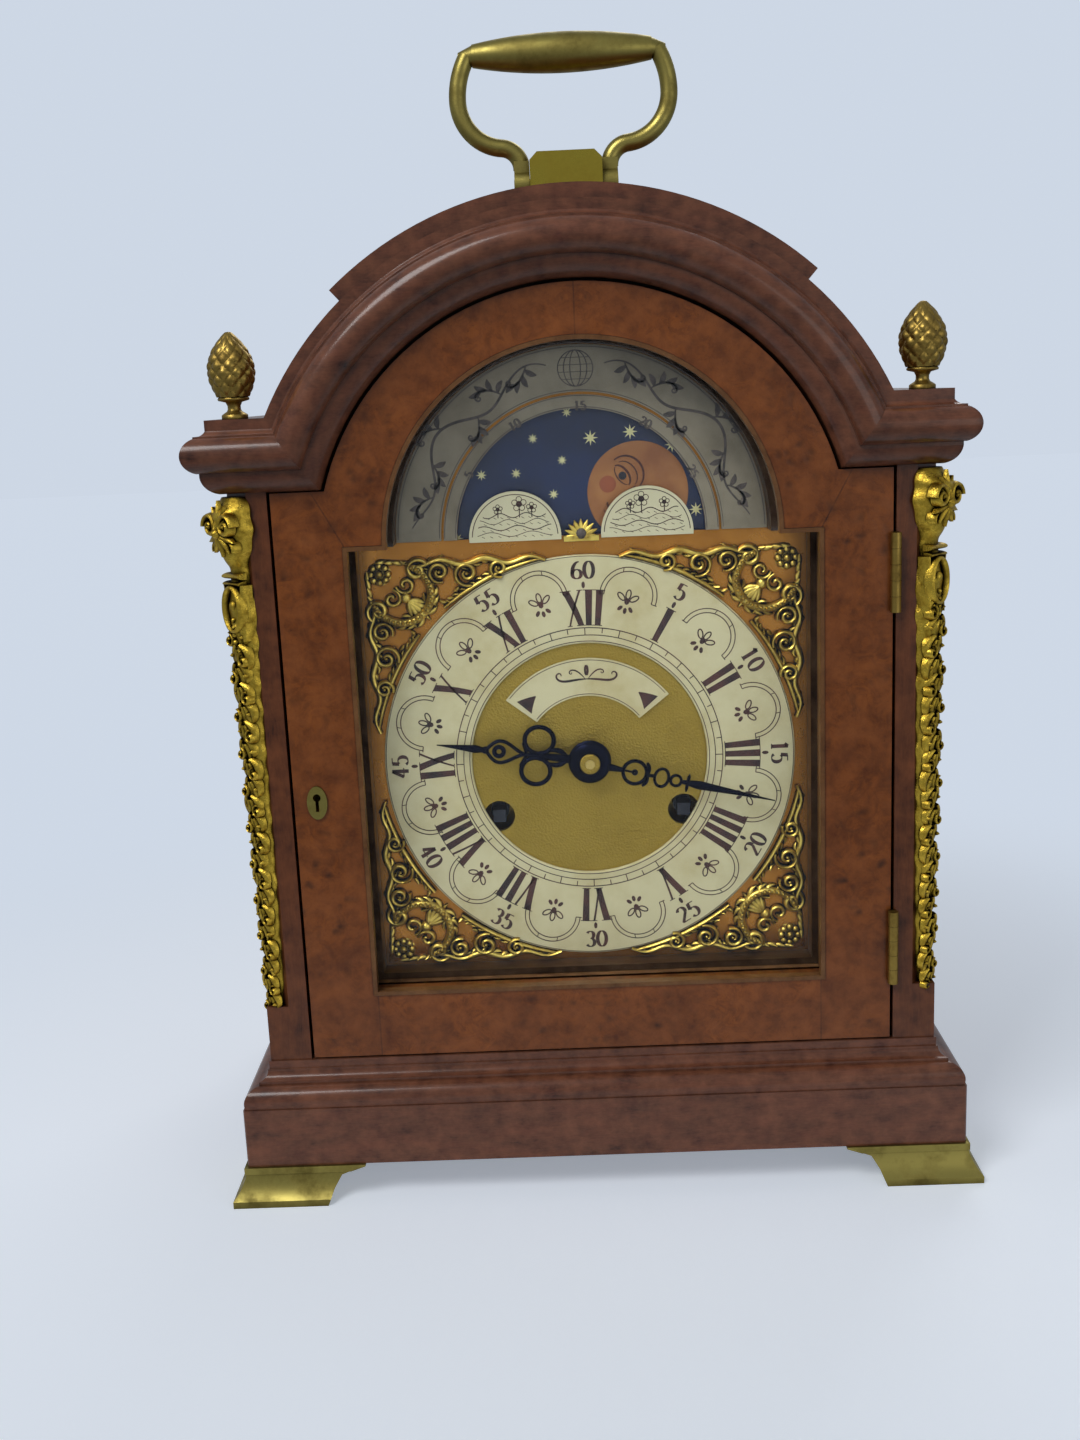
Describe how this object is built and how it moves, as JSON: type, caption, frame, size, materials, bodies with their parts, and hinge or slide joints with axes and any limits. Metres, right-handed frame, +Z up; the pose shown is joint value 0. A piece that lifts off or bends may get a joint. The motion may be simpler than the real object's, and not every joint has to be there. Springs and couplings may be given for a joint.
{
  "type": "bracket clock",
  "caption": "Break-arch bracket clock with a moon dial, hinged glazed doors, carrying handle, brass bracket feet, and going and striking trains with pendulum and bell",
  "frame": {"origin": "on the ground under the middle of the case", "axes": "+Z up, -Y out of the dial towards the viewer, +X to the viewer's right"},
  "size_m": [0.2362, 0.1462, 0.357],
  "materials": {
    "moulding_wood": "polished dark wood",
    "case_wood": "polished walnut veneer",
    "door_veneer": "polished burl walnut veneer",
    "dark_wood": "stained wood",
    "foot_brass": "aged brass",
    "handle_brass": "brass",
    "gilt_brass": "gilt cast brass",
    "bead_wood": "pale wood",
    "pane_glass": "clear glass",
    "dial_brass": "lacquered brass",
    "silvered_brass": "silvered",
    "moon_paint": "painted",
    "blued_steel": "blued steel",
    "plate_brass": "brass",
    "movement_steel": "steel",
    "bob_brass": "brass",
    "bell_metal": "bell metal"
  },
  "bodies": {
    "case": {"feet": "foot_brass", "plinth": "moulding_wood", "base_moulding": "moulding_wood", "case_floor": "dark_wood", "side_left": "case_wood", "side_right": "case_wood", "sound_frets": "gilt_brass", "back_frame": "case_wood", "roof_shell": "moulding_wood", "cornice_front": "moulding_wood", "cornice_sides": "moulding_wood", "roof_pad": "moulding_wood", "finials": "gilt_brass", "corner_mounts": "gilt_brass", "handle_block": "handle_brass", "dial_mask": "dark_wood", "case_hinges": "handle_brass", "dial_plate": "dial_brass", "chapter_ring": "silvered_brass", "spandrels": "gilt_brass", "cartouche": "silvered_brass", "arch_plate": "silvered_brass", "moon_stud": "plate_brass", "dial_feet": "plate_brass", "front_plate": "plate_brass", "back_plate": "plate_brass", "pillars": "plate_brass", "seat_board": "dark_wood", "bell": "bell_metal", "bell_stand": "movement_steel"},
    "front_door": {"front_door": "door_veneer", "glazing_beads": "bead_wood", "door_glass": "pane_glass", "escutcheon": "handle_brass", "door_lock": "handle_brass", "door_hinges": "handle_brass"},
    "bolt": {"lock_bolt": "handle_brass"},
    "back_door": {"back_door": "case_wood", "back_glass": "pane_glass"},
    "handle": {"handle": "foot_brass"},
    "moon": {"moon_disc": "moon_paint"},
    "minute": {"cannon_wheel": "plate_brass", "minute_hand": "blued_steel", "hand_collet": "dial_brass"},
    "motion": {"minute_wheel": "plate_brass"},
    "hour": {"hour_wheel": "plate_brass", "hour_hand": "blued_steel"},
    "centre": {"centre_wheel": "plate_brass"},
    "second": {"second_wheel": "plate_brass"},
    "third": {"third_wheel": "plate_brass"},
    "escape": {"escape_wheel": "plate_brass"},
    "anchor": {"anchor": "movement_steel"},
    "pendulum": {"pendulum": "bob_brass"},
    "going_barrel": {"going_barrel": "plate_brass"},
    "going_arbor": {"going_arbor": "movement_steel"},
    "strike_barrel": {"strike_barrel": "plate_brass"},
    "strike_arbor": {"strike_arbor": "movement_steel"},
    "strike_wheel": {"strike_wheel": "plate_brass"},
    "fly": {"fly": "plate_brass"},
    "hammer": {"hammer": "movement_steel"}
  },
  "joints": [
    {"name": "front_door_hinge", "type": "hinge", "parent": "case", "child": "front_door", "pos_m": [0.09152, -0.06175, 0.1333], "axis": [0, 0, 1], "range_deg": [0, 105]},
    {"name": "lock_bolt_slide", "type": "slide", "parent": "front_door", "child": "bolt", "axis": [-1, 0, 0], "range_m": [0, 0.0035]},
    {"name": "back_door_hinge", "type": "hinge", "parent": "case", "child": "back_door", "pos_m": [0.0682, 0.0575, 0.13], "axis": [0, 0, -1], "range_deg": [0, 100]},
    {"name": "handle_swing", "type": "hinge", "parent": "case", "child": "handle", "pos_m": [0, 0, 0.3119], "axis": [1, 0, 0], "range_deg": [-78, 78]},
    {"name": "moon_turn", "type": "hinge", "parent": "case", "child": "moon", "pos_m": [0, 0, 0.2044], "axis": [0, 1, 0], "continuous": true},
    {"name": "minute_turn", "type": "hinge", "parent": "case", "child": "minute", "pos_m": [0, 0, 0.1335], "axis": [0, 1, 0], "continuous": true},
    {"name": "motion_turn", "type": "hinge", "parent": "case", "child": "motion", "pos_m": [0, 0, 0.1191], "axis": [0, 1, 0], "continuous": true},
    {"name": "hour_turn", "type": "hinge", "parent": "case", "child": "hour", "pos_m": [0, 0, 0.1335], "axis": [0, 1, 0], "continuous": true},
    {"name": "third_turn", "type": "hinge", "parent": "case", "child": "third", "pos_m": [-0.0108, 0, 0.14985], "axis": [0, 1, 0], "continuous": true},
    {"name": "escape_turn", "type": "hinge", "parent": "case", "child": "escape", "pos_m": [0, 0, 0.1645], "axis": [0, 1, 0], "continuous": true},
    {"name": "centre_turn", "type": "hinge", "parent": "case", "child": "centre", "pos_m": [0, 0, 0.1335], "axis": [0, 1, 0], "continuous": true},
    {"name": "second_turn", "type": "hinge", "parent": "case", "child": "second", "pos_m": [0.01804, 0, 0.14212], "axis": [0, 1, 0], "continuous": true},
    {"name": "going_barrel_turn", "type": "hinge", "parent": "case", "child": "going_barrel", "pos_m": [0.0295, 0, 0.1157], "axis": [0, 1, 0], "continuous": true},
    {"name": "pendulum_swing", "type": "hinge", "parent": "case", "child": "pendulum", "pos_m": [0, 0, 0.1761], "axis": [0, 1, 0], "range_deg": [-3, 3]},
    {"name": "anchor_rock", "type": "hinge", "parent": "case", "child": "anchor", "pos_m": [0, 0, 0.1761], "axis": [0, 1, 0], "range_deg": [-3, 3]},
    {"name": "going_winding_turn", "type": "hinge", "parent": "case", "child": "going_arbor", "pos_m": [0.0295, 0, 0.1157], "axis": [0, 1, 0], "continuous": true},
    {"name": "strike_winding_turn", "type": "hinge", "parent": "case", "child": "strike_arbor", "pos_m": [-0.0295, 0, 0.1157], "axis": [0, 1, 0], "continuous": true},
    {"name": "strike_wheel_turn", "type": "hinge", "parent": "case", "child": "strike_wheel", "pos_m": [-0.00095, 0, 0.11192], "axis": [0, 1, 0], "continuous": true},
    {"name": "strike_barrel_turn", "type": "hinge", "parent": "case", "child": "strike_barrel", "pos_m": [-0.0295, 0, 0.1157], "axis": [0, 1, 0], "continuous": true},
    {"name": "fly_turn", "type": "hinge", "parent": "case", "child": "fly", "pos_m": [-0.00095, 0, 0.09192], "axis": [0, 1, 0], "continuous": true},
    {"name": "hammer_lift", "type": "hinge", "parent": "case", "child": "hammer", "pos_m": [-0.04, 0, 0.168], "axis": [0, -1, 0], "range_deg": [0, 10], "stiffness_Nm_per_rad": 0.01}
  ],
  "couplings": [
    {"joint": "motion_turn", "follows": "minute_turn", "ratio": -0.33333},
    {"joint": "hour_turn", "follows": "minute_turn", "ratio": 0.083333},
    {"joint": "escape_turn", "follows": "third_turn", "ratio": -12},
    {"joint": "centre_turn", "follows": "third_turn", "ratio": -0.088889},
    {"joint": "second_turn", "follows": "third_turn", "ratio": 0.012698},
    {"joint": "going_barrel_turn", "follows": "third_turn", "ratio": -0.0018141},
    {"joint": "anchor_rock", "follows": "pendulum_swing", "ratio": 1},
    {"joint": "strike_barrel_turn", "follows": "strike_wheel_turn", "ratio": -0.14286},
    {"joint": "fly_turn", "follows": "strike_wheel_turn", "ratio": -7}
  ]
}
